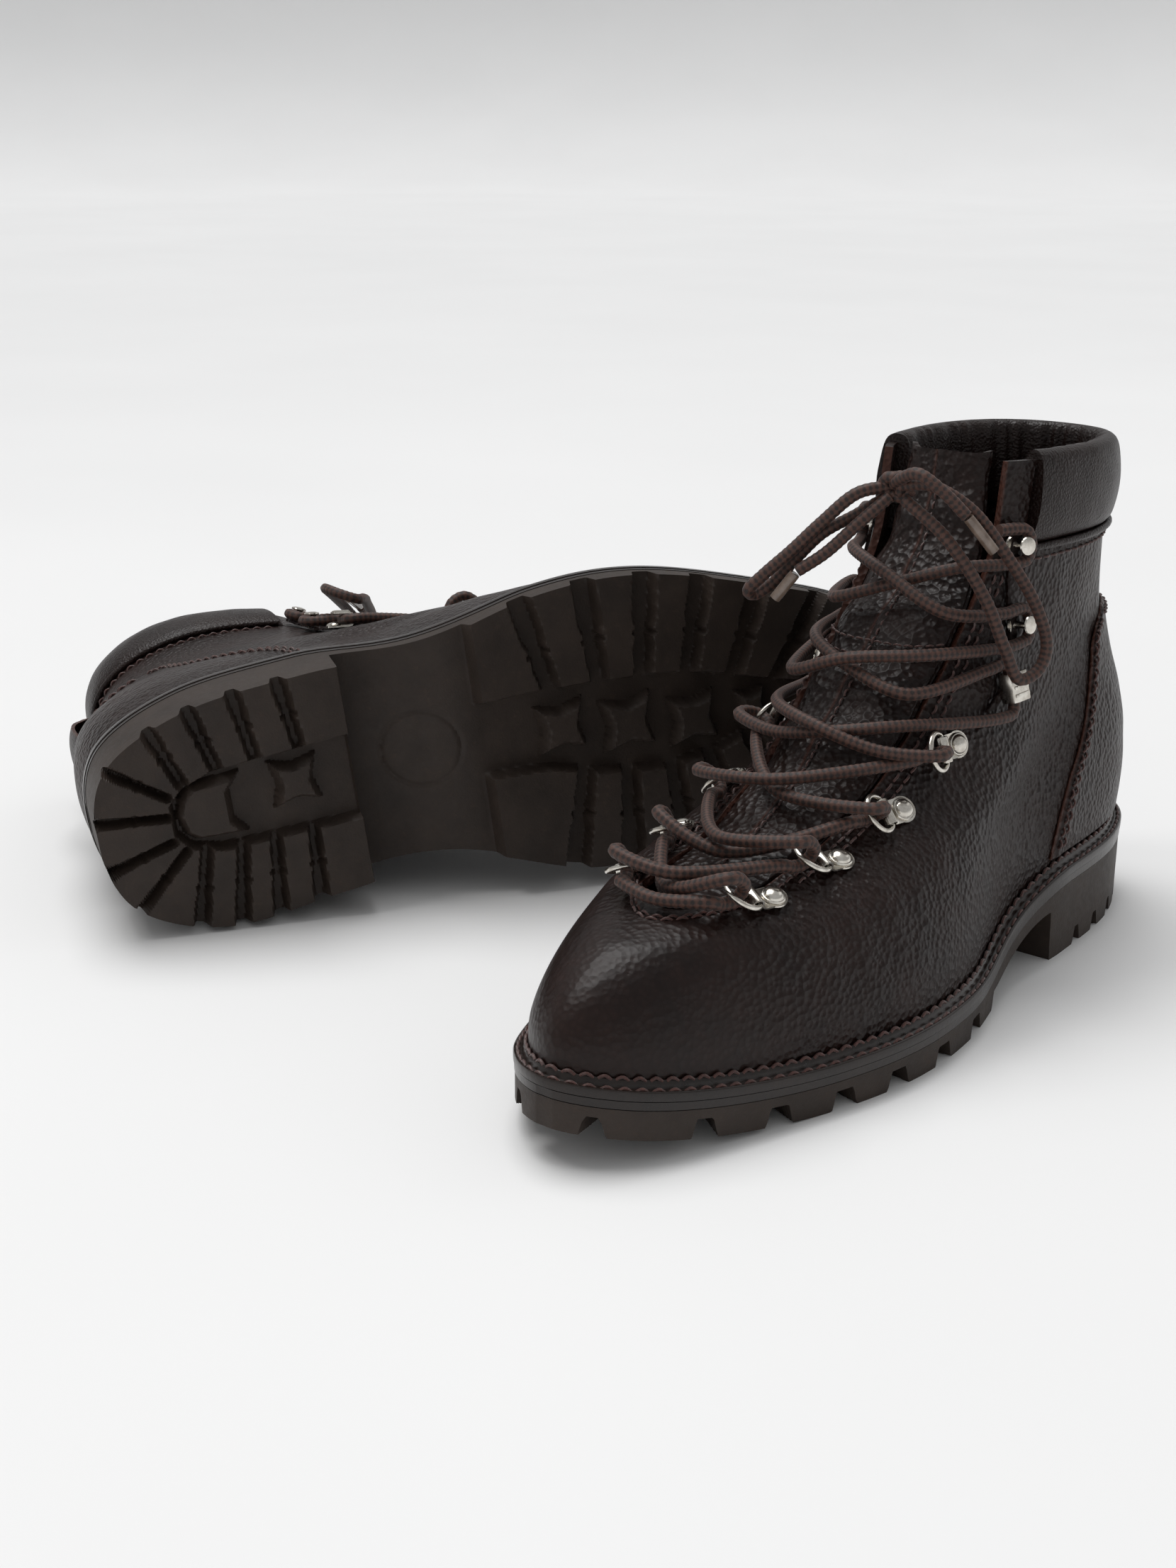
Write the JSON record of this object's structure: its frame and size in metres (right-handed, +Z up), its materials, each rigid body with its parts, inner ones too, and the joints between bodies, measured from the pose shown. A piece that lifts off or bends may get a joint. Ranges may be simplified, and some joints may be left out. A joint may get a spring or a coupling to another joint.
{
  "type": "mountaineering boots",
  "caption": "Pair of leather mountaineering boots with lugged rubber soles, D-ring and hook lacing and padded collars; one stands, one lies on its side.",
  "frame": {"origin": "floor level under the middle of the standing left boot's heel, on the flat of its tread", "axes": "+Z up, -Y towards the standing boot's toe, +X towards its lateral side"},
  "size_m": [0.3977, 0.3062, 0.1701],
  "materials": {
    "outsole_rubber": "matte moulded rubber",
    "sole_edge": "burnished edge",
    "lining": "soft lining leather",
    "pebbled_leather": "pebbled, waxed",
    "coarse_leather": "coarse pebbled",
    "smooth_leather": "smooth, soft sheen",
    "lace_cord": "woven round cord",
    "aglet": "clear brown tip",
    "nickel": "polished nickel plate"
  },
  "bodies": {
    "root": {"left_outsole": "outsole_rubber", "left_midsole": "sole_edge", "left_welt": "sole_edge", "left_footbed": "lining", "left_upper": "pebbled_leather", "left_heel_counter": "pebbled_leather", "left_collar": "smooth_leather", "left_tongue": "coarse_leather", "left_lace": "lace_cord", "left_bow": "lace_cord", "left_aglet_medial": "aglet", "left_aglet_lateral": "aglet", "left_hooks_lateral": "nickel", "left_hooks_medial": "nickel", "left_clip_lateral_1": "nickel", "left_clip_lateral_2": "nickel", "left_clip_lateral_3": "nickel", "left_clip_lateral_4": "nickel", "left_clip_medial_1": "nickel", "left_clip_medial_2": "nickel", "left_clip_medial_3": "nickel", "left_clip_medial_4": "nickel"},
    "right_boot": {"right_outsole": "outsole_rubber", "right_midsole": "sole_edge", "right_welt": "sole_edge", "right_footbed": "lining", "right_upper": "pebbled_leather", "right_heel_counter": "pebbled_leather", "right_collar": "smooth_leather", "right_tongue": "coarse_leather", "right_lace": "lace_cord", "right_bow": "lace_cord", "right_aglet_medial": "aglet", "right_aglet_lateral": "aglet", "right_hooks_lateral": "nickel", "right_hooks_medial": "nickel", "right_clip_lateral_1": "nickel", "right_clip_lateral_2": "nickel", "right_clip_lateral_3": "nickel", "right_clip_lateral_4": "nickel", "right_clip_medial_1": "nickel", "right_clip_medial_2": "nickel", "right_clip_medial_3": "nickel", "right_clip_medial_4": "nickel"},
    "left_swing_lateral_1": {"left_ring_lateral_1": "nickel"},
    "left_swing_lateral_2": {"left_ring_lateral_2": "nickel"},
    "left_swing_lateral_3": {"left_ring_lateral_3": "nickel"},
    "left_swing_lateral_4": {"left_ring_lateral_4": "nickel"},
    "left_swing_medial_1": {"left_ring_medial_1": "nickel"},
    "left_swing_medial_2": {"left_ring_medial_2": "nickel"},
    "left_swing_medial_3": {"left_ring_medial_3": "nickel"},
    "left_swing_medial_4": {"left_ring_medial_4": "nickel"},
    "right_swing_lateral_1": {"right_ring_lateral_1": "nickel"},
    "right_swing_lateral_2": {"right_ring_lateral_2": "nickel"},
    "right_swing_lateral_3": {"right_ring_lateral_3": "nickel"},
    "right_swing_lateral_4": {"right_ring_lateral_4": "nickel"},
    "right_swing_medial_1": {"right_ring_medial_1": "nickel"},
    "right_swing_medial_2": {"right_ring_medial_2": "nickel"},
    "right_swing_medial_3": {"right_ring_medial_3": "nickel"},
    "right_swing_medial_4": {"right_ring_medial_4": "nickel"}
  },
  "joints": [
    {"name": "right_boot_slide", "type": "slide", "parent": "root", "child": "right_boot", "axis": [-1, 0, 0], "range_m": [0, 0.12]},
    {"name": "left_ring_lateral_1_hinge", "type": "hinge", "parent": "root", "child": "left_swing_lateral_1", "pos_m": [0.0203, -0.1971, 0.06222], "axis": [-0.8686, 0.323, 0.3757], "range_deg": [-5, 10], "deforming": ["left_lace"]},
    {"name": "left_ring_lateral_2_hinge", "type": "hinge", "parent": "root", "child": "left_swing_lateral_2", "pos_m": [0.0243, -0.16786, 0.06597], "axis": [-0.8789, 0.2901, 0.3786], "range_deg": [-5, 10], "deforming": ["left_lace"]},
    {"name": "left_ring_lateral_3_hinge", "type": "hinge", "parent": "root", "child": "left_swing_lateral_3", "pos_m": [0.02768, -0.13726, 0.07257], "axis": [-0.6299, 0.1561, 0.7609], "range_deg": [-5, 10], "deforming": ["left_lace"]},
    {"name": "left_ring_lateral_4_hinge", "type": "hinge", "parent": "root", "child": "left_swing_lateral_4", "pos_m": [0.03002, -0.10826, 0.08567], "axis": [-0.3366, 0.0236, 0.9414], "range_deg": [-5, 10], "deforming": ["left_lace"]},
    {"name": "left_ring_medial_1_hinge", "type": "hinge", "parent": "root", "child": "left_swing_medial_1", "pos_m": [-0.01992, -0.20089, 0.06222], "axis": [-0.8456, -0.4495, -0.2879], "range_deg": [-5, 10], "deforming": ["left_lace"]},
    {"name": "left_ring_medial_2_hinge", "type": "hinge", "parent": "root", "child": "left_swing_medial_2", "pos_m": [-0.02389, -0.174, 0.0658], "axis": [-0.8737, -0.3985, -0.279], "range_deg": [-5, 10], "deforming": ["left_lace"]},
    {"name": "left_ring_medial_3_hinge", "type": "hinge", "parent": "root", "child": "left_swing_medial_3", "pos_m": [-0.02722, -0.14293, 0.07252], "axis": [-0.7076, -0.2554, -0.6588], "range_deg": [-5, 10], "deforming": ["left_lace"]},
    {"name": "left_ring_medial_4_hinge", "type": "hinge", "parent": "root", "child": "left_swing_medial_4", "pos_m": [-0.02983, -0.11227, 0.08571], "axis": [-0.4181, -0.073, -0.9055], "range_deg": [-5, 10], "deforming": ["left_lace"]},
    {"name": "right_ring_lateral_1_hinge", "type": "hinge", "parent": "right_boot", "child": "right_swing_lateral_1", "pos_m": [-0.14128, -0.01276, 0.08554], "axis": [0.4034, -0.0151, 0.9149], "range_deg": [-5, 10], "deforming": ["right_lace"]},
    {"name": "right_ring_lateral_2_hinge", "type": "hinge", "parent": "right_boot", "child": "right_swing_lateral_2", "pos_m": [-0.16029, -0.03564, 0.08548], "axis": [0.3874, -0.0452, 0.9208], "range_deg": [-5, 10], "deforming": ["right_lace"]},
    {"name": "right_ring_lateral_3_hinge", "type": "hinge", "parent": "right_boot", "child": "right_swing_lateral_3", "pos_m": [-0.18235, -0.0581, 0.08453], "axis": [0.6631, -0.3385, 0.6676], "range_deg": [-5, 10], "deforming": ["right_lace"]},
    {"name": "right_ring_lateral_4_hinge", "type": "hinge", "parent": "right_boot", "child": "right_swing_lateral_4", "pos_m": [-0.20895, -0.0756, 0.08257], "axis": [0.7738, -0.5179, 0.3648], "range_deg": [-5, 10], "deforming": ["right_lace"]},
    {"name": "right_ring_medial_1_hinge", "type": "hinge", "parent": "right_boot", "child": "right_swing_medial_1", "pos_m": [-0.13538, -0.00568, 0.04621], "axis": [-0.5624, -0.3045, 0.7688], "range_deg": [-5, 10], "deforming": ["right_lace"]},
    {"name": "right_ring_medial_2_hinge", "type": "hinge", "parent": "right_boot", "child": "right_swing_medial_2", "pos_m": [-0.15222, -0.02591, 0.03857], "axis": [-0.5306, -0.2692, 0.8037], "range_deg": [-5, 10], "deforming": ["right_lace"]},
    {"name": "right_ring_medial_3_hinge", "type": "hinge", "parent": "right_boot", "child": "right_swing_medial_3", "pos_m": [-0.17399, -0.04803, 0.0309], "axis": [-0.7593, 0.0706, 0.6469], "range_deg": [-5, 10], "deforming": ["right_lace"]},
    {"name": "right_ring_medial_4_hinge", "type": "hinge", "parent": "right_boot", "child": "right_swing_medial_4", "pos_m": [-0.20106, -0.0664, 0.02382], "axis": [-0.8428, 0.384, 0.3772], "range_deg": [-5, 10], "deforming": ["right_lace"]}
  ]
}
